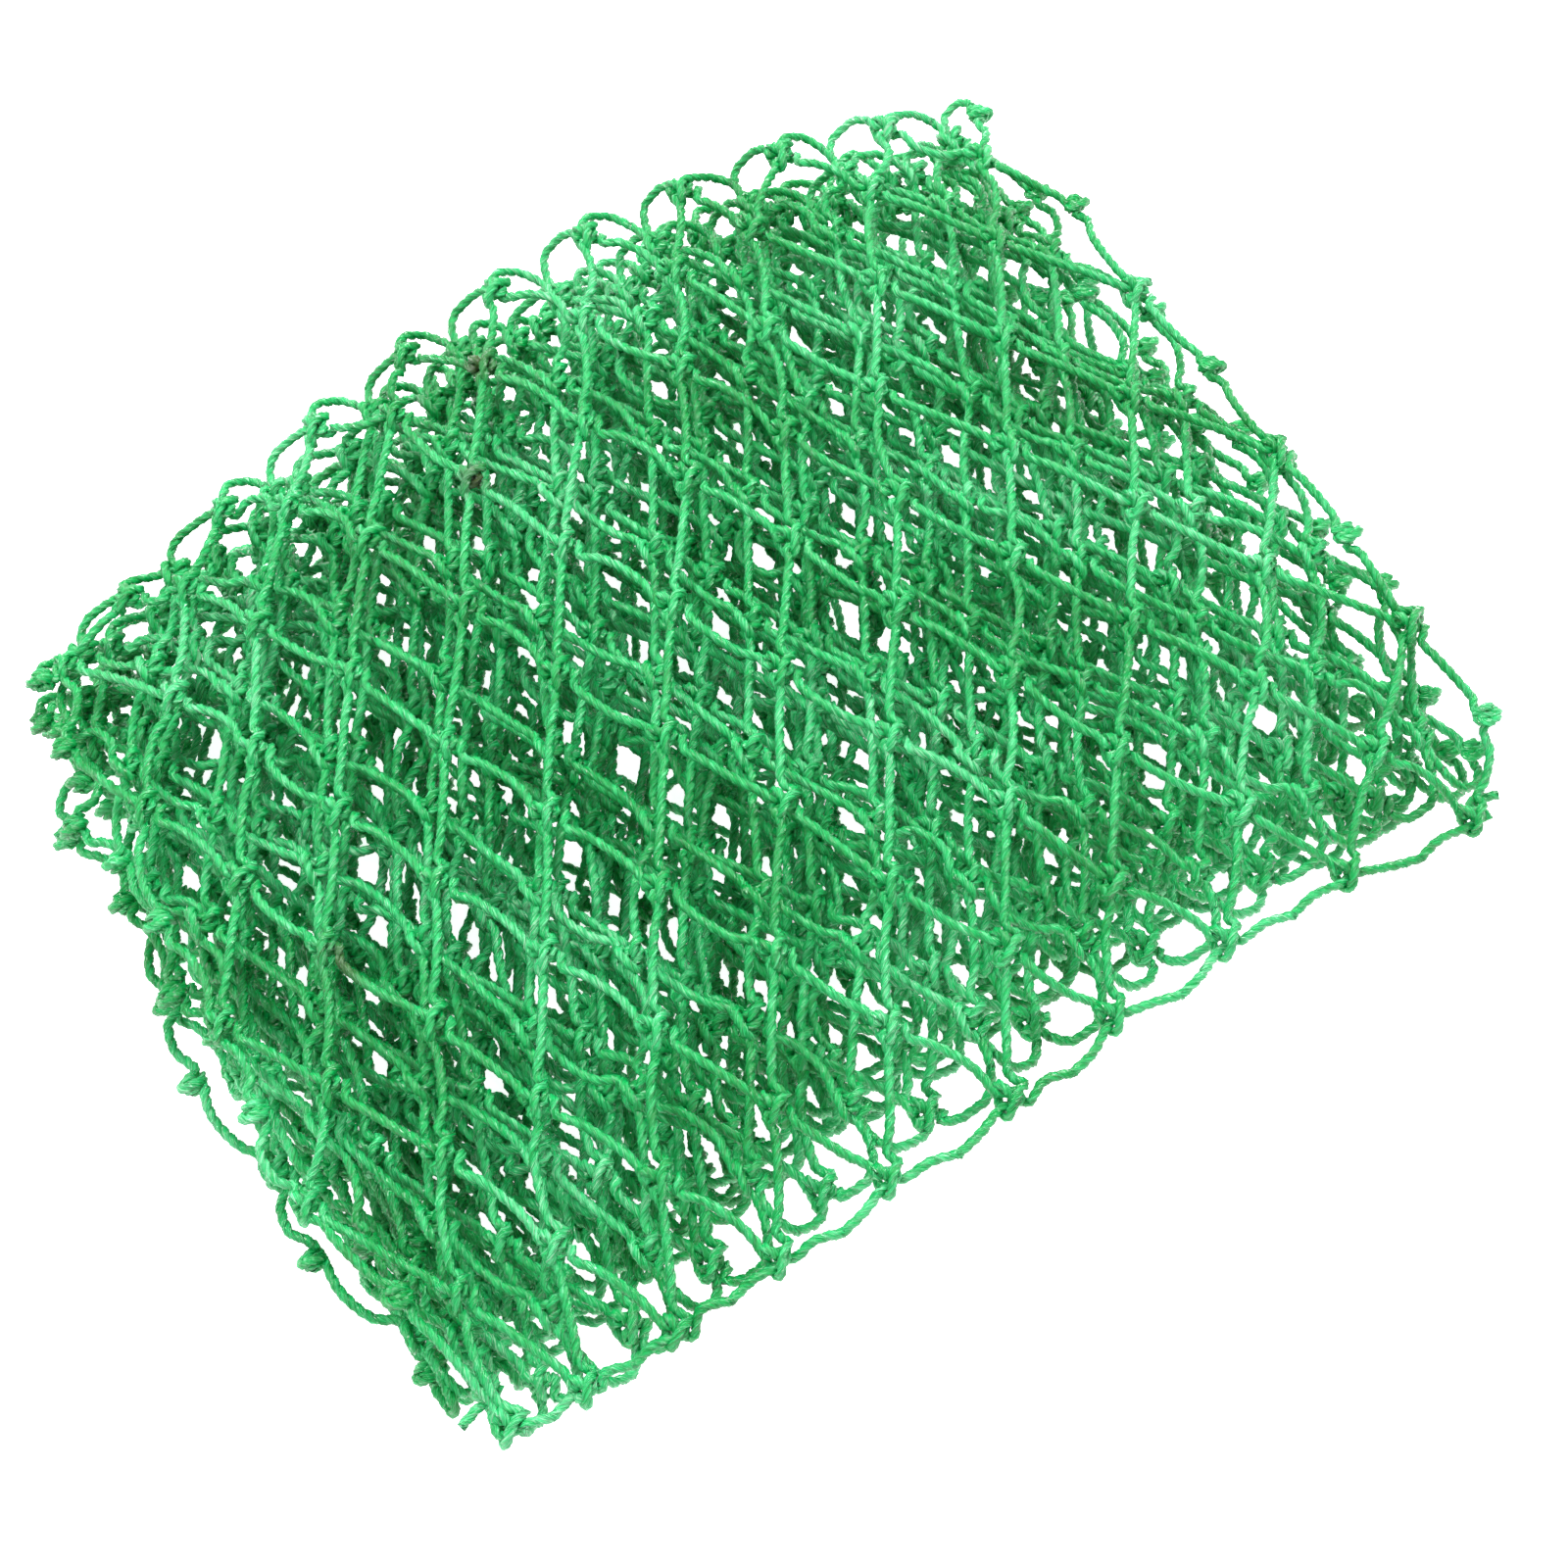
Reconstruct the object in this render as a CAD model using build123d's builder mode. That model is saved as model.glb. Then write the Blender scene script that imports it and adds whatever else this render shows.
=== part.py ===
from build123d import *
import math
import os

# Folded pad of knotted diamond-mesh fishing netting, in millimetres.
# X runs along the folds (the width of the strip), Y runs across them,
# +Y towards the back fold, and Z is up from the surface it lies on.

# ---- driving dimensions -------------------------------------------------
twine_d = 1.3            # diameter of the three-strand twine
bar = 17.5               # knot to knot, so 35 mm stretched mesh
twines = 20              # lengthwise twines, one for each half mesh of width
rows_per_pass = 9        # half-mesh rows between one fold and the next
passes = 12              # layers in the folded stack
knot_bite = 0.45         # how far a twine keeps to its own side at a knot
knot_radius = 1.1        # bend radius of a twine where it turns in a knot
leaf_gap = 1.20          # extra share of a layer's pitch above and below a loose leaf
hinge_gap = 1.3          # a tube stops this far short of a fold that opens
knot_clear = 3.6         # a knot keeps this far from a fold
narrowing = 0.045        # how much narrower the stack is at the bottom
fold_puff = 0.1          # how much a fold stands open above and below its layers
edge_height = 20.9       # least height of the top layer's centre line

# ---- the shape of the top layer ----------------------------------------
# Plan position as quartic polynomials of s = (column - 10) / 10 and
# t = (row - 4.5) / 4.5, and height as one of x / 85 and y / 70, in the
# order s^0 t^0, s^0 t^1 ... s^0 t^4, s^1 t^0 ... s^4 t^0.
spread_x = [-2.610, -5.783, 0.625, 1.208, -0.447, 80.726, 8.451, -4.402, -2.872, 4.702, 7.158, 0.697, 0.194, -6.202, 0.969]
spread_y = [-0.955, -68.503, 1.502, 3.113, -0.613, 2.229, 2.252, 5.739, 0.104, -0.511, 5.044, -4.338, -2.389, -3.545, -0.037]
crown_z = [39.311, 0.616, -0.175, 0.340, -8.184, 2.642, 5.660, 2.393, 8.426, -15.649, -4.501, -2.927, -2.164, -8.375, 6.455]

# Knots of the top layer, row by row from the back fold to the front, in the
# columns whose number has the same parity as the row's.
top_knots = [
    [(-76.5, 50.2), (-59.0, 55.3), (-42.2, 58.7), (-26.1, 62.1), (-11.4, 64.1), (2.5, 64.7), (16.1, 65.0), (29.7, 65.3), (44.3, 65.1), (61.1, 64.2), (78.6, 62.6)],
    [(-69.3, 45.5), (-51.5, 46.1), (-35.3, 48.6), (-18.0, 51.9), (-5.0, 50.9), (9.1, 49.8), (23.0, 50.3), (35.4, 51.6), (53.4, 51.0), (71.4, 51.0)],
    [(-76.9, 32.9), (-59.6, 31.6), (-46.3, 34.6), (-29.2, 36.6), (-14.4, 36.4), (1.3, 35.6), (16.0, 36.2), (28.8, 36.1), (45.7, 36.5), (64.6, 37.0), (81.9, 38.5)],
    [(-69.1, 19.4), (-54.0, 18.6), (-39.4, 20.9), (-23.4, 20.7), (-9.2, 21.3), (8.7, 21.4), (22.7, 21.3), (36.5, 21.6), (56.2, 21.8), (77.8, 22.0)],
    [(-76.4, 4.2), (-62.9, 4.1), (-49.0, 5.1), (-33.9, 5.5), (-18.1, 6.2), (-1.7, 6.8), (15.6, 7.4), (30.6, 6.7), (47.4, 6.9), (66.5, 6.8), (82.1, 6.3)],
    [(-72.8, -11.4), (-58.2, -9.5), (-42.9, -9.6), (-27.8, -9.5), (-11.1, -8.3), (5.3, -7.5), (22.1, -7.2), (39.0, -7.5), (57.4, -8.0), (78.8, -9.0)],
    [(-76.6, -23.3), (-65.2, -24.8), (-51.3, -24.7), (-36.4, -24.7), (-21.0, -24.6), (-3.2, -23.0), (12.3, -21.8), (29.8, -21.4), (47.4, -21.9), (66.7, -23.0), (82.0, -24.2)],
    [(-73.6, -36.0), (-57.7, -39.1), (-45.4, -39.5), (-29.8, -39.5), (-13.4, -38.5), (2.4, -38.0), (20.1, -35.7), (36.0, -35.9), (56.7, -36.2), (78.5, -38.4)],
    [(-71.9, -50.8), (-63.5, -53.8), (-51.5, -54.8), (-37.8, -54.6), (-22.5, -54.0), (-6.3, -52.3), (10.7, -50.8), (26.4, -49.7), (45.8, -48.8), (65.7, -50.0), (83.8, -52.7)],
    [(-65.0, -69.2), (-55.8, -69.9), (-44.1, -69.7), (-30.3, -68.5), (-14.9, -66.9), (2.3, -65.7), (18.3, -62.9), (35.7, -61.3), (54.5, -60.8), (73.2, -62.1)],
]

# Each fold in turn from the top: the row it falls on, counted from the back
# (the odd ones are at the back, the even ones at the front), and how far it
# drifts from the top layer: x shift, x stretch, y shift, y skew, y bow.
# The first line is the top layer's free end and the last one the bottom's.
folds = [
    (9.00, 0.0, 0.0, 0.0, 0.0, 0.0),
    (-0.35, 0.0, 0.0, 0.0, 0.0, 0.0),
    (9.00, 1.6, -1.0, 1.4, 1.2, 0.6),
    (0.20, -4.5, -0.4, 3.2, 2.2, -0.8),
    (9.10, 2.6, -3.0, 8.0, -2.2, -2.5),
    (-0.20, 2.0, 1.2, 2.0, 3.7, -1.2),
    (8.75, -3.0, 1.0, 7.0, 0.4, -3.0),
    (-0.20, -4.5, -0.3, 3.0, 1.5, 0.8),
    (8.80, 3.7, -2.3, 13.3, 1.6, 2.5),
    (-0.10, 3.8, -0.6, 3.5, 2.0, -1.7),
    (9.00, -2.2, 0.4, 10.6, -2.4, -1.6),
    (0.05, -1.4, 0.6, 1.5, 3.1, 0.8),
    (8.20, 0.3, -3.0, 7.0, 1.3, -2.0),
]
# Waviness of each layer between its folds: x, y, phase.
waves = [
    (0.0, 0.0, 0.0), (1.4, -1.8, 0.4), (-2.4, 2.6, 1.9), (2.4, -2.2, 3.1),
    (-1.6, 3.0, 4.4), (4.8, 1.6, 5.2), (-2.8, -3.0, 0.9), (2.2, 2.8, 2.5),
    (-4.4, -2.6, 4.9), (1.8, -3.2, 0.9), (2.6, 2.4, 1.3), (-2.0, 1.8, 1.9),
]
jitter = 1.2             # random shift of a knot inside the stack

# Centres the part on its own box.
centre_x, centre_y = 1.410, -0.216


# ---- geometry of the netting -------------------------------------------
def quartic(coefficients, u, v):
    total, n = 0.0, 0
    for i in range(5):
        for j in range(5 - i):
            total += coefficients[n] * u ** i * v ** j
            n += 1
    return total


def crown(x, y):
    """Height of the top layer's centre line over the plan point x, y."""
    u = max(-80.0, min(86.0, x)) / 85.0
    v = max(-70.0, min(66.0, y)) / 70.0
    rise = quartic(crown_z, u, v) - edge_height
    return edge_height + 0.5 * (rise + math.sqrt(rise * rise + 4.0))


def chance(n):
    """A repeatable number from -1 to 1."""
    value = math.sin(n * 12.9898 + 4.1414) * 43758.5453
    return 2.0 * (value - math.floor(value)) - 1.0


levels = [0.0]
for layer in range(passes - 1):
    levels.append(levels[-1] + (leaf_gap if layer < 2 else 1.0))
levels = [1.0 - value / levels[-1] for value in levels]

fold_at = [0.0]
for number in range(1, passes + 1):
    fold_at.append(fold_at[-1] + abs(folds[number][0] - folds[number - 1][0]))


def plan(layer, column, row, share, knot=None):
    """Plan point of a layer; share goes from 0 to 1 from its upper fold to its lower one."""
    if layer == 0 and knot is not None and knot[1] > 0:
        return top_knots[knot[1]][knot[0] // 2]
    s = (column - 10.0) / 10.0
    near = row if row >= 1.0 else 1.0 - (1.0 - row) / 1.35
    t = (near - 4.5) / 4.5
    x, y = quartic(spread_x, s, t), quartic(spread_y, s, t)
    a, b = folds[layer], folds[layer + 1]
    drift = [p + (q - p) * share for p, q in zip(a, b)]
    x += drift[1] + drift[2] * s - narrowing * (1.0 - levels[layer]) * x
    y += drift[3] + drift[4] * s + drift[5] * (2.0 * s * s - 1.0)
    wx, wy, phase = waves[layer]
    swell = math.sin(math.pi * share)
    x += wx * swell * math.sin(phase + 2.2 * s + 3.0 * share)
    y += wy * swell * math.cos(phase + 2.6 * s)
    return x, y


def place(layer, x, y):
    floor = twine_d / 2
    return (x - centre_x, y - centre_y, floor + levels[layer] * (crown(x, y) - floor))


def knot_place(layer, column, number):
    """Centre of a knot, row number counted from the top layer's free end."""
    upper, lower = fold_at[layer], fold_at[layer + 1]
    share = (number - upper) / (lower - upper)
    first, last = folds[layer][0], folds[layer + 1][0]
    row = first + (last - first) * share
    x, y = plan(layer, column, row, share, (column, int(round(row))) if layer == 0 else None)
    if layer > 0:
        x += jitter * chance(number * 31 + column * 7)
        y += jitter * chance(number * 17 + column * 13 + 5)
    for end, at, fold in ((0.0, upper, layer), (1.0, lower, layer + 1)):
        if 0 < fold < passes and abs(number - at) < 1.0:
            edge = plan(layer, column, folds[fold][0], end)[1]
            inward = -1.0 if fold % 2 else 1.0
            y = edge + inward * max(inward * (y - edge), knot_clear)
    return x, y


def knot_point(layer, twine, number):
    """Where a twine turns in its knot, on its own side of the centre."""
    column = twine if (twine + 9 - number) % 2 == 0 else twine + 1
    x, y = knot_place(layer, column, number)
    return place(layer, x + (-knot_bite if column > twine else knot_bite), y)


def fold_points(number, twine):
    """The two corners of a twine's turn at a fold, above and below."""
    at = fold_at[number]
    before = int(math.floor(at))
    first = twine if (twine + 9 - before) % 2 == 0 else twine + 1
    second = 2 * twine + 1 - first
    column = first + (second - first) * (at - before)
    x, y = plan(number - 1, column, folds[number][0], 1.0)
    upper, lower = place(number - 1, x, y), place(number, x, y)
    return (upper[0], upper[1], upper[2] + fold_puff), (lower[0], lower[1], max(twine_d / 2, lower[2] - fold_puff))


def towards(a, b, distance):
    """The point that lies distance from a on the way to b."""
    length = math.dist(a, b)
    return tuple(p + (q - p) * distance / length for p, q in zip(a, b))


def twine_route(twine, first, last):
    """Corners of a twine from layer first to layer last, and the bend radius at each inner one."""
    points, radii = [], []
    if first > 0:
        points.append(fold_points(first, twine)[1])
        radii.append(0.0)
    for layer in range(first, last + 1):
        start = int(math.ceil(fold_at[layer]))
        stop = int(math.floor(fold_at[layer + 1]))
        for number in range(start, stop + 1):
            points.append(knot_point(layer, twine, number))
            radii.append(knot_radius)
        if layer < last:
            upper, lower = fold_points(layer + 1, twine)
            turn = 0.49 * math.dist(upper, lower)
            points += [upper, lower]
            radii += [turn, turn]
    if last < passes - 1:
        points.append(fold_points(last + 1, twine)[0])
        radii.append(0.0)
    if first > 0:
        points[0] = towards(points[0], points[1], hinge_gap)
    if last < passes - 1:
        points[-1] = towards(points[-1], points[-2], hinge_gap)
    for n in range(1, len(points) - 1):
        radii[n] = min(radii[n], widest(*points[n - 1:n + 2]))
    return points, radii[1:-1]


def widest(a, b, c):
    """The largest bend radius that leaves each run beside corner b half free."""
    before, after = math.dist(a, b), math.dist(b, c)
    cosine = sum((q - p) * (r - q) for p, q, r in zip(a, b, c)) / (before * after)
    half_turn = 0.5 * math.acos(max(-1.0, min(1.0, cosine)))
    return 0.49 * min(before, after) / math.tan(half_turn)


# ---- the pieces ---------------------------------------------------------
os.makedirs("parts", exist_ok=True)
bodies = [("top_leaf", 0, 0), ("second_leaf", 1, 1), ("pad", 2, passes - 1)]

for body, first, last in bodies:
    for twine in range(twines):
        points, radii = twine_route(twine, first, last)
        name = "twine_%02d_%s" % (twine + 1, body)
        with BuildPart() as strand:
            with BuildLine() as route:
                FilletPolyline(*points, radius=radii)
            with BuildSketch(Plane(origin=route.line @ 0, z_dir=route.line % 0)):
                Circle(twine_d / 2)
            sweep(path=route.line)
        strand.part.label = name
        export_step(strand.part, "parts/%s.step" % name)
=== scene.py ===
import bpy
import math
import numpy as np
from mathutils import Matrix, Vector


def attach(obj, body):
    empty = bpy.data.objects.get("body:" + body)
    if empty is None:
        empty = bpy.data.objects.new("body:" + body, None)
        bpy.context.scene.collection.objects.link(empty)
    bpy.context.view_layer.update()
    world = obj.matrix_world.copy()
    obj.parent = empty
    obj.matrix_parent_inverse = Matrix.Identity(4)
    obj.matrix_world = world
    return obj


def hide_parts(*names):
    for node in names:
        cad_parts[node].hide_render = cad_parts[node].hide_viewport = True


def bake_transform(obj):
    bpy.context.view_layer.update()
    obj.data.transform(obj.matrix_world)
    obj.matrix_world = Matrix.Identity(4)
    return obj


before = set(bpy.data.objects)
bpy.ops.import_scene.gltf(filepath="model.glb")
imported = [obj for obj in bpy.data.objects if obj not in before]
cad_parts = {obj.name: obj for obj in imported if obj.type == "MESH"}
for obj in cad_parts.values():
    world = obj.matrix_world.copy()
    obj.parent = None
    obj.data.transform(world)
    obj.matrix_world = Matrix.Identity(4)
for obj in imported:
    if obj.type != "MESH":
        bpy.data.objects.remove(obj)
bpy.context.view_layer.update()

# Folded pad of knotted fishing netting. Lengths in the route code are in millimetres and become
# metres where a mesh is made. The route is the CAD model's own, with the knots, the slack and the
# three strands of the twine added.

TWINES, PASSES = 20, 12
D = 1.3                     # twine diameter
BAR = 17.5                  # knot to knot
LAY = 4.4                   # length of one turn of the strands
RING = 0.56                 # distance between cross sections
SIDES = 12
THICK = 1.33                # across the strands
leaf_gap = 1.20
knot_clear = 3.6
narrowing = 0.045
edge_height = 20.9
fold_puff = 0.1
jitter = 1.2
centre_x, centre_y = 1.410, -0.216

spread_x = [-2.610, -5.783, 0.625, 1.208, -0.447, 80.726, 8.451, -4.402, -2.872, 4.702, 7.158, 0.697, 0.194, -6.202, 0.969]
spread_y = [-0.955, -68.503, 1.502, 3.113, -0.613, 2.229, 2.252, 5.739, 0.104, -0.511, 5.044, -4.338, -2.389, -3.545, -0.037]
crown_z = [39.311, 0.616, -0.175, 0.340, -8.184, 2.642, 5.660, 2.393, 8.426, -15.649, -4.501, -2.927, -2.164, -8.375, 6.455]
top_knots = [
    [(-76.5, 50.2), (-59.0, 55.3), (-42.2, 58.7), (-26.1, 62.1), (-11.4, 64.1), (2.5, 64.7), (16.1, 65.0), (29.7, 65.3), (44.3, 65.1), (61.1, 64.2), (78.6, 62.6)],
    [(-69.3, 45.5), (-51.5, 46.1), (-35.3, 48.6), (-18.0, 51.9), (-5.0, 50.9), (9.1, 49.8), (23.0, 50.3), (35.4, 51.6), (53.4, 51.0), (71.4, 51.0)],
    [(-76.9, 32.9), (-59.6, 31.6), (-46.3, 34.6), (-29.2, 36.6), (-14.4, 36.4), (1.3, 35.6), (16.0, 36.2), (28.8, 36.1), (45.7, 36.5), (64.6, 37.0), (81.9, 38.5)],
    [(-69.1, 19.4), (-54.0, 18.6), (-39.4, 20.9), (-23.4, 20.7), (-9.2, 21.3), (8.7, 21.4), (22.7, 21.3), (36.5, 21.6), (56.2, 21.8), (77.8, 22.0)],
    [(-76.4, 4.2), (-62.9, 4.1), (-49.0, 5.1), (-33.9, 5.5), (-18.1, 6.2), (-1.7, 6.8), (15.6, 7.4), (30.6, 6.7), (47.4, 6.9), (66.5, 6.8), (82.1, 6.3)],
    [(-72.8, -11.4), (-58.2, -9.5), (-42.9, -9.6), (-27.8, -9.5), (-11.1, -8.3), (5.3, -7.5), (22.1, -7.2), (39.0, -7.5), (57.4, -8.0), (78.8, -9.0)],
    [(-76.6, -23.3), (-65.2, -24.8), (-51.3, -24.7), (-36.4, -24.7), (-21.0, -24.6), (-3.2, -23.0), (12.3, -21.8), (29.8, -21.4), (47.4, -21.9), (66.7, -23.0), (82.0, -24.2)],
    [(-73.6, -36.0), (-57.7, -39.1), (-45.4, -39.5), (-29.8, -39.5), (-13.4, -38.5), (2.4, -38.0), (20.1, -35.7), (36.0, -35.9), (56.7, -36.2), (78.5, -38.4)],
    [(-71.9, -50.8), (-63.5, -53.8), (-51.5, -54.8), (-37.8, -54.6), (-22.5, -54.0), (-6.3, -52.3), (10.7, -50.8), (26.4, -49.7), (45.8, -48.8), (65.7, -50.0), (83.8, -52.7)],
    [(-65.0, -69.2), (-55.8, -69.9), (-44.1, -69.7), (-30.3, -68.5), (-14.9, -66.9), (2.3, -65.7), (18.3, -62.9), (35.7, -61.3), (54.5, -60.8), (73.2, -62.1)],
]
folds = [
    (9.00, 0.0, 0.0, 0.0, 0.0, 0.0),
    (-0.35, 0.0, 0.0, 0.0, 0.0, 0.0),
    (9.00, 1.6, -1.0, 1.4, 1.2, 0.6),
    (0.20, -4.5, -0.4, 3.2, 2.2, -0.8),
    (9.10, 2.6, -3.0, 8.0, -2.2, -2.5),
    (-0.20, 2.0, 1.2, 2.0, 3.7, -1.2),
    (8.75, -3.0, 1.0, 7.0, 0.4, -3.0),
    (-0.20, -4.5, -0.3, 3.0, 1.5, 0.8),
    (8.80, 3.7, -2.3, 13.3, 1.6, 2.5),
    (-0.10, 3.8, -0.6, 3.5, 2.0, -1.7),
    (9.00, -2.2, 0.4, 10.6, -2.4, -1.6),
    (0.05, -1.4, 0.6, 1.5, 3.1, 0.8),
    (8.20, 0.3, -3.0, 7.0, 1.3, -2.0),
]
waves = [
    (0.0, 0.0, 0.0), (1.4, -1.8, 0.4), (-2.4, 2.6, 1.9), (2.4, -2.2, 3.1),
    (-1.6, 3.0, 4.4), (4.8, 1.6, 5.2), (-2.8, -3.0, 0.9), (2.2, 2.8, 2.5),
    (-4.4, -2.6, 4.9), (1.8, -3.2, 0.9), (2.6, 2.4, 1.3), (-2.0, 1.8, 1.9),
]


# ---------------------------------------------------------------- the route
def quartic(coefficients, u, v):
    total, n = 0.0, 0
    for i in range(5):
        for j in range(5 - i):
            total += coefficients[n] * u ** i * v ** j
            n += 1
    return total


def crown(x, y):
    u = max(-80.0, min(86.0, x)) / 85.0
    v = max(-70.0, min(66.0, y)) / 70.0
    rise = quartic(crown_z, u, v) - edge_height
    return edge_height + 0.5 * (rise + math.sqrt(rise * rise + 4.0))


def chance(n):
    value = math.sin(n * 12.9898 + 4.1414) * 43758.5453
    return 2.0 * (value - math.floor(value)) - 1.0


levels = [0.0]
for layer in range(PASSES - 1):
    levels.append(levels[-1] + (leaf_gap if layer < 2 else 1.0))
levels = [1.0 - value / levels[-1] for value in levels]

fold_at = [0.0]
for number in range(1, PASSES + 1):
    fold_at.append(fold_at[-1] + abs(folds[number][0] - folds[number - 1][0]))
ROWS = int(math.floor(fold_at[PASSES])) + 1


def plan(layer, column, row, share, knot=None):
    if layer == 0 and knot is not None and knot[1] > 0:
        return top_knots[knot[1]][knot[0] // 2]
    s = (column - 10.0) / 10.0
    near = row if row >= 1.0 else 1.0 - (1.0 - row) / 1.35
    t = (near - 4.5) / 4.5
    x, y = quartic(spread_x, s, t), quartic(spread_y, s, t)
    a, b = folds[layer], folds[layer + 1]
    drift = [p + (q - p) * share for p, q in zip(a, b)]
    x += drift[1] + drift[2] * s - narrowing * (1.0 - levels[layer]) * x
    y += drift[3] + drift[4] * s + drift[5] * (2.0 * s * s - 1.0)
    wx, wy, phase = waves[layer]
    swell = math.sin(math.pi * share)
    x += wx * swell * math.sin(phase + 2.2 * s + 3.0 * share)
    y += wy * swell * math.cos(phase + 2.6 * s)
    return x, y


def place(layer, x, y):
    floor = D / 2
    return np.array((x - centre_x, y - centre_y, floor + levels[layer] * (crown(x, y) - floor)))


def knot_place(layer, column, number):
    upper, lower = fold_at[layer], fold_at[layer + 1]
    share = (number - upper) / (lower - upper)
    first, last = folds[layer][0], folds[layer + 1][0]
    row = first + (last - first) * share
    x, y = plan(layer, column, row, share, (column, int(round(row))) if layer == 0 else None)
    if layer > 0:
        loose = jitter * (1.0 if layer < 3 else 1.7)
        x += loose * chance(number * 31 + column * 7)
        y += loose * chance(number * 17 + column * 13 + 5)
    if column in (0, TWINES):                  # the selvedge meshes are drawn in
        x += 2.6 if column == 0 else -2.6
    for end, at, fold in ((0.0, upper, layer), (1.0, lower, layer + 1)):
        if 0 < fold < PASSES and abs(number - at) < 1.0:
            edge = plan(layer, column, folds[fold][0], end)[1]
            inward = -1.0 if fold % 2 else 1.0
            y = edge + inward * max(inward * (y - edge), knot_clear)
    return x, y


def layer_of(number):
    for layer in range(PASSES):
        if number <= fold_at[layer + 1]:
            return layer
    return PASSES - 1


def unit(v):
    return v / max(1e-9, float(np.linalg.norm(v)))


knots = {}


def knot(column, number):
    """Centre and axes of a knot: across (towards the higher columns), along (the way the twines run) and out."""
    key = (column, number)
    if key in knots:
        return knots[key]
    layer = layer_of(number)
    x, y = knot_place(layer, column, number)
    centre = place(layer, x, y)
    h = 2.0
    slope_x = (place(layer, x + h, y)[2] - place(layer, x - h, y)[2]) / (2 * h)
    slope_y = (place(layer, x, y + h)[2] - place(layer, x, y - h)[2]) / (2 * h)
    out = unit(np.array((-slope_x, -slope_y, 1.0)))
    run = 1.0 if layer % 2 == 0 else -1.0      # even layers run towards the back
    along = np.array((0.08 * chance(number * 3 + column), run, 0.0))
    across = np.array((1.0, 0.0, 0.0))
    seed = number * 41 + column * 57
    turn = math.radians(14 * chance(seed)) + (0.0 if layer else 0.10)
    tilt = math.radians((16 if layer else 10) * chance(seed + 3))
    out = unit(out + across * math.sin(tilt) + along * 0.15 * chance(seed + 5))
    along = unit(along - out * float(along @ out))
    across = unit(np.cross(along, out)) * 1.0
    if across[0] < 0:
        across = -across
    face = run
    along, across = (math.cos(turn) * along + math.sin(turn) * across,
                     math.cos(turn) * across - math.sin(turn) * along)
    size = 1.0 + 0.10 * chance(seed + 9)
    if layer == PASSES - 1:
        centre[2] = max(centre[2], 1.9)
    knots[key] = (centre, across, along, out * face, size)
    return knots[key]


# Control points of a sheet bend, in twine diameters: across, along, out.
BIGHT = [(-0.95, -0.60, 0.05), (-0.10, -0.56, -0.05), (0.72, -0.38, 0.0), (0.98, 0.0, 0.05),
         (0.72, 0.38, 0.0), (-0.10, 0.56, -0.05), (-0.95, 0.60, 0.05)]
WRAP = [(1.55, -0.75, -0.30), (0.95, -0.55, -0.78), (0.25, -0.10, -0.40), (-0.05, 0.30, 0.45),
        (-0.30, 0.95, 0.78), (-0.66, 1.42, 0.15), (-0.82, 1.05, -0.68), (-0.86, 0.0, -0.88),
        (-0.80, -1.05, -0.68), (-0.62, -1.42, 0.15), (-0.25, -0.85, 0.82), (0.30, 0.0, 0.98),
        (0.95, 0.60, 0.62), (1.55, 0.80, 0.20)]
# A selvedge twine ties on itself; its legs leave on the negative side.
SELVEDGE = [(-0.95, -0.80, -0.05), (-0.45, -0.50, 0.15), (0.05, -0.30, -0.50), (0.50, -0.10, 0.05),
            (0.0, 0.05, 0.55), (-0.75, 0.30, 0.35), (-0.70, 0.55, -0.70), (0.45, 0.45, -0.95),
            (1.05, 0.05, -0.05), (0.55, -0.45, 0.85), (-0.35, -0.60, 1.00), (-1.10, -0.10, 0.45),
            (-0.80, 0.60, -0.25), (0.10, 0.75, -0.30), (0.55, 0.70, 0.30), (-0.20, 0.85, 0.55),
            (-0.95, 0.95, 0.05)]


def fold_arc(number, twine, before, after):
    """The twine's bight round a fold: an open arc from the knot above to the knot below it."""
    at = fold_at[number]
    n = int(math.floor(at))
    first = twine if (twine + 9 - n) % 2 == 0 else twine + 1
    second = 2 * twine + 1 - first
    column = first + (second - first) * (at - n)
    x, y = plan(number - 1, column, folds[number][0], 1.0)
    upper, lower = place(number - 1, x, y), place(number, x, y)
    lower[2] = max(lower[2], D / 2)
    outward = 1.0 if number % 2 else -1.0
    seed = twine * 19 + number * 7
    puff = -0.5 + 1.1 * chance(seed)
    gap = float(upper[2] - lower[2])
    rise = 0.25 * chance(seed + 2)
    # in plan the arc goes out to the fold between the two knots' own x
    width = after[0] - before[0]
    out_b, out_a = abs(upper[1] - before[1]), abs(lower[1] - after[1])
    points = []
    for f, reach, deep, z in ((0.10, 0.62, 0.04, 0), (0.30, 0.97, 0.22, 0), (0.5, 1.0, 0.5, 0),
                              (0.70, 0.97, 0.78, 0), (0.90, 0.62, 0.96, 0)):
        base = before[1] + (after[1] - before[1]) * f
        rim = upper[1] + outward * puff * (1.0 if 0.2 < f < 0.8 else 0.4)
        px = before[0] + width * f + 0.5 * chance(seed + 1)
        py = base + (rim - base) * reach
        top = before[2] + (upper[2] - before[2]) * reach
        bottom = after[2] + (lower[2] - after[2]) * reach
        points.append(np.array((px, py, top + (bottom - top) * deep + (rise if 0.2 < f < 0.8 else 0.0))))
    return points


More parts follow.
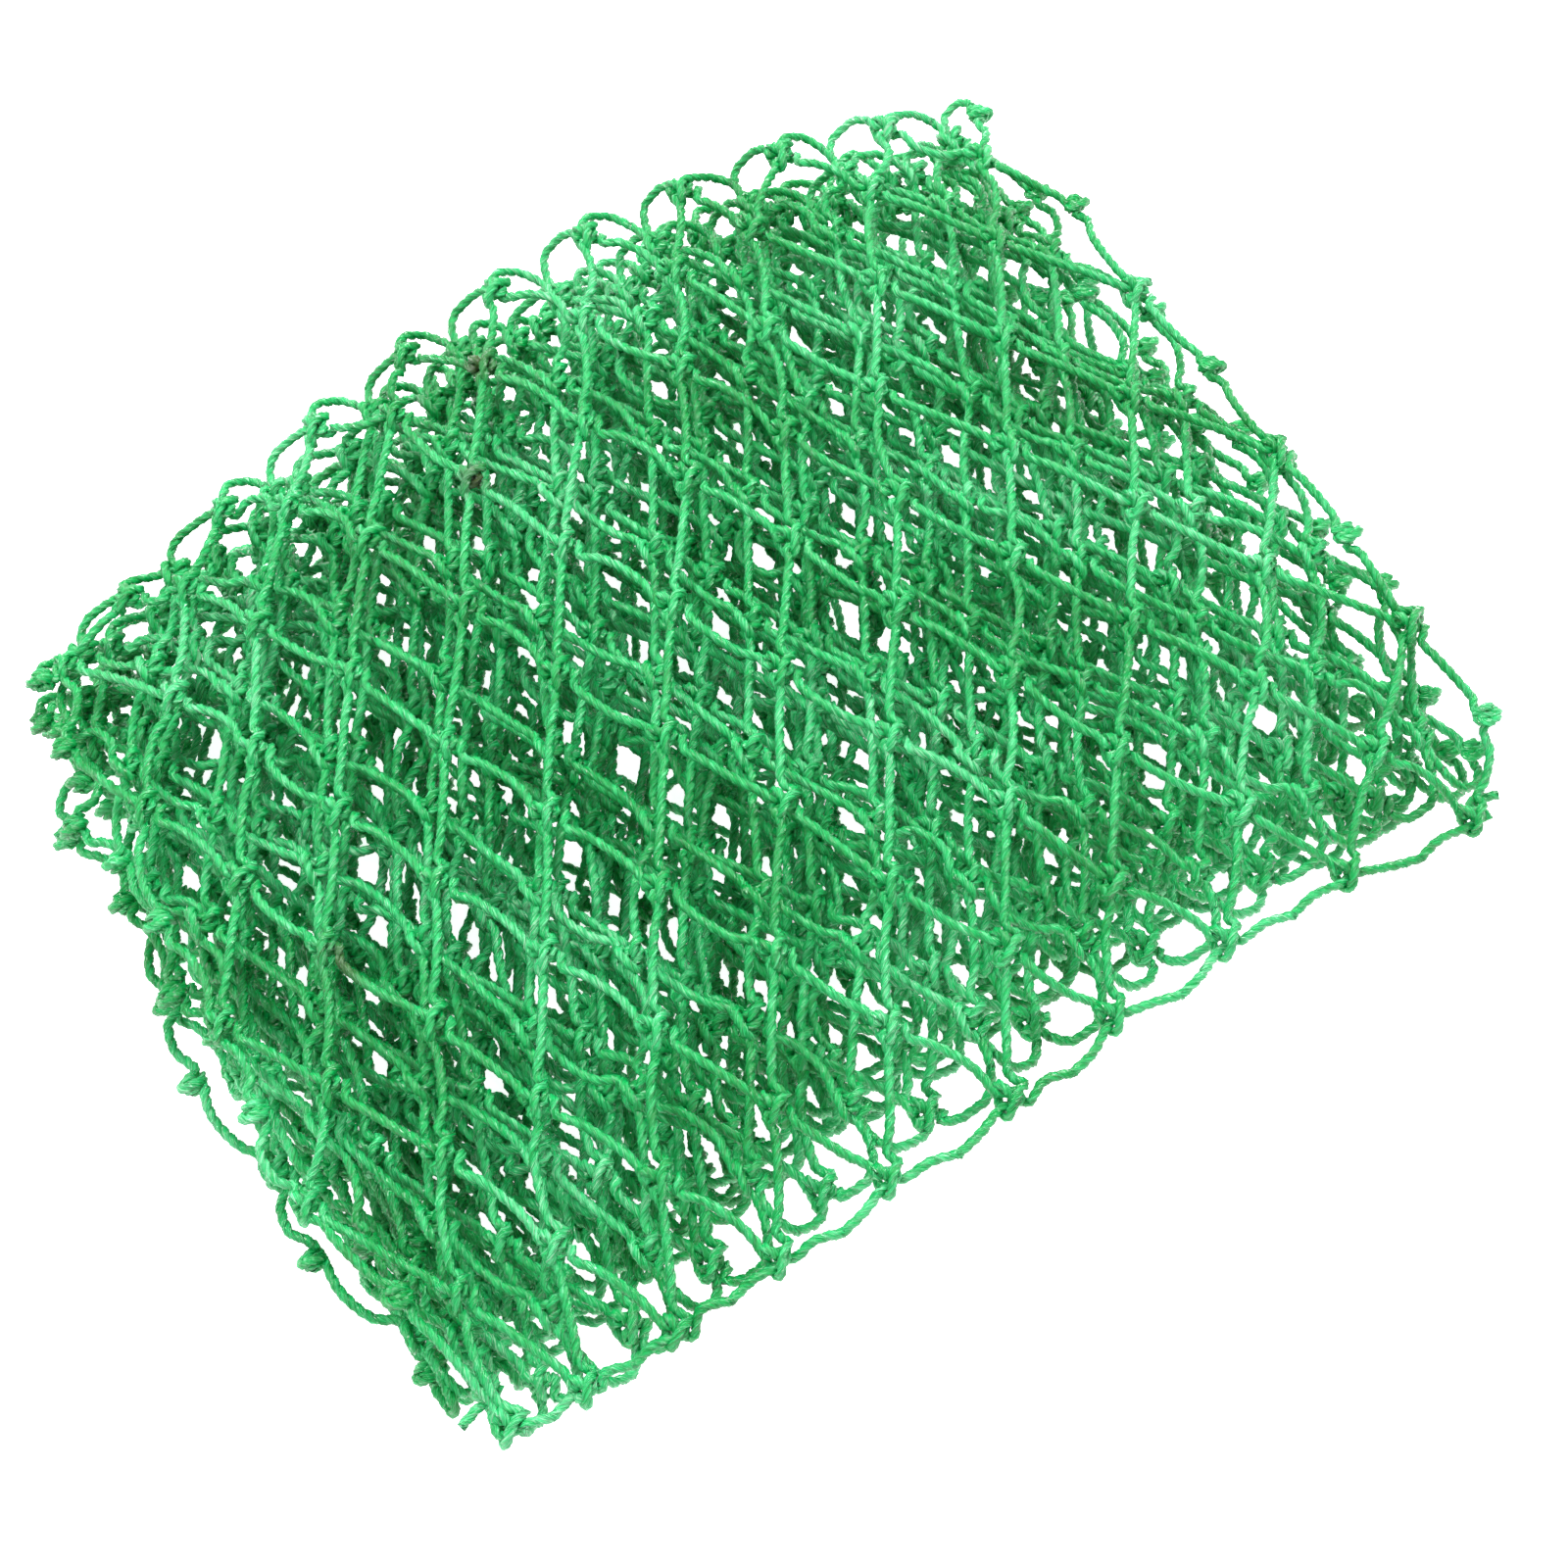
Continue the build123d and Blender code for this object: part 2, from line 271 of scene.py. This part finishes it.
def controls(twine):
    """Control points of one twine from the top layer's free end to the bottom layer's, and the
    places where it is cut for the two opening folds, as indices into the points."""
    points, cuts = [], []
    column_at = lambda n: twine if (twine + 9 - n) % 2 == 0 else twine + 1
    centres = [knot(column_at(n), n)[0] for n in range(ROWS)]
    for n in range(ROWS):
        layer = layer_of(n)
        column = column_at(n)
        centre, across, along, out, size = knot(column, n)
        wrap = column == twine
        edge = (wrap and twine == 0) or (not wrap and column == TWINES)
        side = 1.0 if wrap else -1.0
        fold_before = next((k for k in range(1, PASSES) if n - 1 < fold_at[k] <= n), None)
        fold_after = next((k for k in range(1, PASSES) if n < fold_at[k] <= n + 1), None)
        back = centres[n - 1] if n else centre
        if fold_before:
            back = fold_arc(fold_before, twine, centres[n - 1], centre)[-1]
        ahead = centres[n + 1] if n + 1 < ROWS else centre + along * BAR * 0.8 + across * side * BAR * 0.4
        if fold_after:
            arc = fold_arc(fold_after, twine, centre, centres[n + 1])
            ahead = arc[0]
        if n == 0:
            # the net starts with a half mesh: an arc from knot to knot, shared by two twines
            neighbour = column + int(2 * side)
            other = knot(neighbour, 0)[0] if 0 < neighbour < TWINES else centre + np.array((side * 9.0, 7.0, -1.0))
            middle = 0.5 * (centre + other) - np.array((0, 2.0 + 1.3 * chance(5 * (column + int(side))), 0))
            points.append(middle - np.array((-side * 0.25, 0, 0)))
            back = middle + np.array((-side * 3.4, 0.9, 0.0))
            points.append(back)
        reach_b = min(2.0 * THICK, 0.42 * float(np.linalg.norm(back - centre)))
        reach_a = min(2.0 * THICK, 0.42 * float(np.linalg.norm(ahead - centre)))
        if n and reach_b > 1.2:
            points.append(centre + unit(back - centre) * reach_b)
        if edge:
            shape = [(a * (-1.0 if wrap else 1.0), b, c) for a, b, c in SELVEDGE]
        else:
            shape = WRAP if wrap else BIGHT
        scale = THICK * 0.96 * size
        first, last = len(points), len(points) + len(shape)
        for a, b, c in shape:
            points.append(centre + (across * a + along * b) * scale + out * c * scale * 0.92)
        if n == ROWS - 1:
            points.append(centre + along * D * 2.3 + across * side * D * 1.0)
            break
        if reach_a > 1.2:
            points.append(centre + unit(ahead - centre) * reach_a)
        following = centres[n + 1]
        if fold_after:
            if fold_after <= 2:
                cuts.append(len(points))
                cuts.append(len(points) + len(arc) - 1)
            points.extend(arc)
        else:
            chord = following - centre
            length = float(np.linalg.norm(chord))
            slack = max(0.0, BAR - length)
            seed = n * 101 + twine * 13
            loose = 0.30 if layer == 0 else 0.42
            bow = min(2.4, 0.25 + loose * math.sqrt(0.375 * length * slack))
            sideways = unit(np.cross(chord, (0.0, 0.0, 1.0)))
            lift = 0.2 if layer == 0 else 0.0
            wob, bend = bow * chance(seed + 1), 0.12 * chance(seed + 2)
            for f, g in ((0.34, 0.88 + bend), (0.66, 0.88 - bend)):
                hop = 0.22 * chance(seed + 40 + int(f * 100)) + lift
                points.append(centre + chord * f + sideways * wob * g + np.array((0, 0, hop)))
    return np.array(points), cuts


def smooth_line(points):
    """A dense line through the points, with the tangents of a centripetal Catmull-Rom spline, and where each point falls on it."""
    p = np.vstack([2 * points[0] - points[1], points, 2 * points[-1] - points[-2]])
    dt = np.maximum(np.sqrt(np.linalg.norm(np.diff(p, axis=0), axis=1)), 1e-4)
    d01, d12 = dt[:-1, None], dt[1:, None]
    m = (p[1:-1] - p[:-2]) / d01 - (p[2:] - p[:-2]) / (d01 + d12) + (p[2:] - p[1:-1]) / d12
    a, b = points[:-1], points[1:]
    h = dt[1:-1, None]
    ma, mb = m[:-1] * h, m[1:] * h
    steps = 10
    f = (np.arange(steps) / steps)[None, :, None]
    a, b, ma, mb = a[:, None], b[:, None], ma[:, None], mb[:, None]
    line = ((2 * f ** 3 - 3 * f ** 2 + 1) * a + (f ** 3 - 2 * f ** 2 + f) * ma
            + (-2 * f ** 3 + 3 * f ** 2) * b + (f ** 3 - f ** 2) * mb).reshape(-1, 3)
    return np.vstack([line, points[-1]]), steps


lines, marks = [], []
for twine in range(TWINES):
    points, cuts = controls(twine)
    dense, steps = smooth_line(points)
    dense[:, 2] = np.maximum(dense[:, 2], 0.74)
    along = np.concatenate([[0.0], np.cumsum(np.linalg.norm(np.diff(dense, axis=0), axis=1))])
    count = int(along[-1] / RING) + 1
    at = np.linspace(0.0, along[-1], count)
    line = np.stack([np.interp(at, along, dense[:, i]) for i in range(3)], -1)
    lines.append(line)
    marks.append([int(round(along[c * steps] / along[-1] * (count - 1))) for c in cuts])

# Rotation-minimising frames for all the twines at once.
longest = max(len(line) for line in lines)
stack = np.zeros((TWINES, longest, 3))
for i, line in enumerate(lines):
    stack[i, :len(line)] = line
    stack[i, len(line):] = line[-1] + np.outer(np.arange(1, longest - len(line) + 1), line[-1] - line[-2])
tangent = np.gradient(stack, axis=1)
tangent /= np.linalg.norm(tangent, axis=2, keepdims=True)
normal = np.zeros_like(stack)
start = np.cross(tangent[:, 0], (0.0, 0.0, 1.0))
normal[:, 0] = start / np.linalg.norm(start, axis=1, keepdims=True)
for i in range(longest - 1):
    v = stack[:, i + 1] - stack[:, i]
    c = np.maximum((v * v).sum(1, keepdims=True), 1e-12)
    rl = normal[:, i] - v * (2 / c) * (v * normal[:, i]).sum(1, keepdims=True)
    tl = tangent[:, i] - v * (2 / c) * (v * tangent[:, i]).sum(1, keepdims=True)
    w = tangent[:, i + 1] - tl
    c2 = np.maximum((w * w).sum(1, keepdims=True), 1e-12)
    normal[:, i + 1] = rl - w * (2 / c2) * (w * rl).sum(1, keepdims=True)
binormal = np.cross(tangent, normal)

# Three strands laid together: the outline of three touching circles, softened where they press.
angle = np.arange(SIDES) * 2 * math.pi / SIDES
nearest = (angle + math.pi / 3) % (2 * math.pi / 3) - math.pi / 3
profile = 0.34 * np.cos(nearest) + np.sqrt(0.42 ** 2 - (0.34 * np.sin(nearest)) ** 2)
profile *= (THICK / 2) / profile.max()


# small brown stains, as the net has near its back left: x, y, z, radius
stains = [(-6.6, 51.9, 36.7, 2.2), (-15.3, 36.2, 37.4, 2.0), (-57.0, -12.1, 33.2, 3.2)]


def strand(name, twine, first, last, material, girth=1.0):
    """Mesh of one twine from ring first to ring last."""
    rings = np.arange(first, last + 1)
    turn = rings * RING * 2 * math.pi / LAY + twine * 1.7
    a = angle[None, :] + turn[:, None]
    swell = girth + 0.03 * np.sin(rings * 0.61 + twine)[:, None]
    r = profile[None, :] * swell
    co = (stack[twine, rings][:, None, :]
          + normal[twine, rings][:, None, :] * (r * np.cos(a))[..., None]
          + binormal[twine, rings][:, None, :] * (r * np.sin(a))[..., None])
    n = len(rings)
    co = co.reshape(-1, 3) / 1000.0
    i = np.arange(n - 1)[:, None] * SIDES
    k = np.arange(SIDES)[None, :]
    k2 = (k + 1) % SIDES
    quads = np.stack([i + k, i + k2, i + SIDES + k2, i + SIDES + k], -1).reshape(-1, 4)
    mesh = bpy.data.meshes.new(name)
    mesh.vertices.add(len(co))
    mesh.vertices.foreach_set("co", co.astype(np.float32).ravel())
    caps = 2
    loops = np.concatenate([quads.ravel(), np.arange(SIDES)[::-1], np.arange(SIDES) + (n - 1) * SIDES])
    starts = np.concatenate([np.arange(len(quads)) * 4, len(quads) * 4 + np.arange(caps) * SIDES])
    mesh.loops.add(len(loops))
    mesh.loops.foreach_set("vertex_index", loops.astype(np.int32))
    mesh.polygons.add(len(starts))
    mesh.polygons.foreach_set("loop_start", starts.astype(np.int32))
    mesh.update(calc_edges=True)
    mesh.validate()
    mesh.polygons.foreach_set("use_smooth", np.ones(len(mesh.polygons), bool))
    lay = mesh.attributes.new("lay", "FLOAT_VECTOR", "POINT")
    s = np.repeat(rings * RING / 1000.0, SIDES)
    c = np.tile(angle, n)
    lay.data.foreach_set("vector", np.stack([s + twine * 3.1, np.cos(c) * 0.00075, np.sin(c) * 0.00075], -1).astype(np.float32).ravel())
    centre_line = stack[twine, rings]
    dirt = np.zeros(n)
    for x, y, z, size in stains:
        dirt = np.maximum(dirt, np.exp(-((centre_line - (x, y, z)) ** 2).sum(1) / size ** 2))
    px, py, pz = centre_line.T
    shade = 0.5 + 0.22 * np.sin(px * 0.13 + 1.3 + 1.7 * np.sin(py * 0.07)) + 0.22 * np.sin(py * 0.17 + pz * 0.21 + twine * 0.9)
    tone = mesh.attributes.new("tone", "FLOAT_VECTOR", "POINT")
    tone.data.foreach_set("vector", np.repeat(np.stack([dirt, shade, np.full(n, (twine * 0.37) % 1.0)], -1), SIDES, axis=0).astype(np.float32).ravel())
    obj = bpy.data.objects.new(name, mesh)
    bpy.context.scene.collection.objects.link(obj)
    mesh.materials.append(material)
    return obj


# ---------------------------------------------------------------- materials
def twine_material():
    """Glossy laid polyethylene: fine filaments along each strand, uneven green, a few stains, and painted highlights:
    whitish glints painted into the colour along the filaments.
    """
    m = bpy.data.materials.new("laid_polyethylene")
    m.use_nodes = True
    t = m.node_tree
    nodes, link = t.nodes, t.links.new
    bsdf = nodes["Principled BSDF"]

    lay = nodes.new("ShaderNodeAttribute"); lay.attribute_name = "lay"
    tone = nodes.new("ShaderNodeAttribute"); tone.attribute_name = "tone"
    parts = nodes.new("ShaderNodeSeparateXYZ"); link(tone.outputs["Vector"], parts.inputs[0])

    def noise(along, across, detail):
        stretch = nodes.new("ShaderNodeVectorMath"); stretch.operation = "MULTIPLY"
        stretch.inputs[1].default_value = (along, across, across)
        link(lay.outputs["Vector"], stretch.inputs[0])
        n = nodes.new("ShaderNodeTexNoise"); n.inputs["Scale"].default_value = 1.0
        n.inputs["Detail"].default_value = detail; n.inputs["Roughness"].default_value = 0.6
        link(stretch.outputs[0], n.inputs["Vector"])
        return n

    def maths(operation, a, b, c=None):
        n = nodes.new("ShaderNodeMath"); n.operation = operation
        for socket, value in zip(n.inputs, (a, b, c)):
            if value is None:
                continue
            if isinstance(value, float):
                socket.default_value = value
            else:
                link(value, socket)
        return n.outputs[0]

    # The filament noise gives the filaments their bump and roughness. Through the ramp's top stop it also paints
    # whitish glints into the colour.
    filament_and_glint_noise = noise(260.0, 5600.0, 2.0)
    blotch = noise(110.0, 1100.0, 1.0)
    tone_and_glint_level = maths("MULTIPLY_ADD", parts.outputs["Y"], 0.20, maths("MULTIPLY", blotch.outputs["Fac"], 0.25))
    tone_and_glint_level = maths("MULTIPLY_ADD", filament_and_glint_noise.outputs["Fac"], 0.60, tone_and_glint_level)

    tone_and_glint_ramp = nodes.new("ShaderNodeValToRGB")
    e = tone_and_glint_ramp.color_ramp.elements
    e[0].position, e[0].color = 0.40, (0.000, 0.350, 0.054, 1)
    # The top stop is a painted highlight: whitish-green glints painted into the colour where the filament noise peaks,
    # whatever the lighting.
    e[1].position, e[1].color = 0.72, (0.380, 0.920, 0.520, 1)
    mid = tone_and_glint_ramp.color_ramp.elements.new(0.52); mid.color = (0.001, 0.580, 0.128, 1)
    light = tone_and_glint_ramp.color_ramp.elements.new(0.62); light.color = (0.050, 0.770, 0.265, 1)
    link(tone_and_glint_level, tone_and_glint_ramp.inputs["Fac"])

    tint = nodes.new("ShaderNodeMix"); tint.data_type = "RGBA"
    link(parts.outputs["X"], tint.inputs["Factor"])
    link(tone_and_glint_ramp.outputs["Color"], tint.inputs["A"])
    tint.inputs["B"].default_value = (0.060, 0.065, 0.010, 1)
    link(tint.outputs["Result"], bsdf.inputs["Base Color"])

    rough = nodes.new("ShaderNodeMapRange")
    rough.inputs["From Min"].default_value = 0.3; rough.inputs["From Max"].default_value = 0.7
    rough.inputs["To Min"].default_value = 0.08; rough.inputs["To Max"].default_value = 0.26
    link(filament_and_glint_noise.outputs["Fac"], rough.inputs["Value"]); link(rough.outputs["Result"], bsdf.inputs["Roughness"])

    bump = nodes.new("ShaderNodeBump"); bump.inputs["Strength"].default_value = 1.0
    bump.inputs["Distance"].default_value = 0.00045
    kinks = noise(1300.0, 3200.0, 0.0)
    link(maths("MULTIPLY_ADD", kinks.outputs["Fac"], 0.35, filament_and_glint_noise.outputs["Fac"]), bump.inputs["Height"]); link(bump.outputs["Normal"], bsdf.inputs["Normal"])

    bsdf.inputs["IOR"].default_value = 1.54
    bsdf.inputs["Specular IOR Level"].default_value = 1.0
    return m


green = twine_material()

# ---------------------------------------------------------------- the pieces
for twine in range(TWINES):
    upper_in, upper_out, lower_in, lower_out = marks[twine]
    end = len(lines[twine]) - 1
    number = "%02d" % (twine + 1)
    for body, first, last in (("top_leaf", 0, upper_in), ("second_leaf", upper_out, lower_in), ("pad", lower_out, end)):
        piece = strand("net_%s_%s" % (number, body), twine, first, last, green, 1.07 if body == "pad" else 1.0)
        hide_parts("twine_%s_%s" % (number, body))
        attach(piece, body)
    for name, first, last, parent, child in (("back_fold", upper_in, upper_out, "second_leaf", "top_leaf"),
                                             ("front_fold", lower_in, lower_out, "pad", "second_leaf")):
        piece = strand("net_%s_%s" % (number, name), twine, first, last, green, 1.03 if parent == "pad" else 1.0)
        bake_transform(piece)


# ---------------------------------------------------------------- the studio
def matte(name, colour, roughness=0.9):
    m = bpy.data.materials.new(name)
    m.use_nodes = True
    b = m.node_tree.nodes["Principled BSDF"]
    b.inputs["Base Color"].default_value = (*colour, 1)
    b.inputs["Roughness"].default_value = roughness
    return m


floor_mesh = bpy.data.meshes.new("floor")
floor_mesh.from_pydata([(-3, -3, 0), (3, -3, 0), (3, 3, 0), (-3, 3, 0)], [], [(0, 1, 2, 3)])
floor = bpy.data.objects.new("floor", floor_mesh)
bpy.context.scene.collection.objects.link(floor)
pale = matte("pale_floor", (0.85, 0.85, 0.85))
pale.node_tree.nodes["Principled BSDF"].inputs["Emission Color"].default_value = (1.0, 1.0, 1.0, 1)
pale.node_tree.nodes["Principled BSDF"].inputs["Emission Strength"].default_value = 0.9
floor_mesh.materials.append(pale)


def area(name, where, target, size, power):
    light = bpy.data.lights.new(name, "AREA")
    light.size = size
    light.energy = power
    obj = bpy.data.objects.new(name, light)
    obj.location = where
    obj.rotation_euler = (Vector(target) - Vector(where)).to_track_quat("-Z", "Y").to_euler()
    bpy.context.scene.collection.objects.link(obj)


area("top", (0.22, 0.36, 0.85), (0, 0, 0.02), 0.26, 5.5)
area("key", (-0.50, 0.10, 0.80), (0, 0, 0.02), 0.20, 3.8)
area("rim", (0.30, 0.80, 0.55), (0, 0, 0.02), 0.22, 4.5)
area("fill", (0.75, -0.50, 0.65), (0, 0, 0.02), 0.40, 2.0)
world = bpy.data.worlds.new("studio")
world.use_nodes = True
world.node_tree.nodes["Background"].inputs["Color"].default_value = (1, 1, 1, 1)
world.node_tree.nodes["Background"].inputs["Strength"].default_value = 0.60
bpy.context.scene.world = world
bpy.context.scene.view_settings.view_transform = "Standard"

# Camera: slightly to the left of the front, 65 degrees up and close.
azimuth, elevation, distance = -0.52648, 1.13446, 0.330
back = Vector((math.sin(azimuth) * math.cos(elevation), -math.cos(azimuth) * math.cos(elevation), math.sin(elevation)))
right = Vector((math.cos(azimuth), math.sin(azimuth), 0.0))
up = back.cross(right)
camera_data = bpy.data.cameras.new("camera")
camera_data.sensor_width = 36.0
camera_data.lens = 2652.73 / 1600.0 * 36.0
camera = bpy.data.objects.new("camera", camera_data)
where = Vector((0.001216, -0.013001, 0.020)) + back * distance
camera.matrix_world = Matrix(((right.x, up.x, back.x, where.x), (right.y, up.y, back.y, where.y),
                              (right.z, up.z, back.z, where.z), (0, 0, 0, 1)))
bpy.context.scene.collection.objects.link(camera)
bpy.context.scene.camera = camera
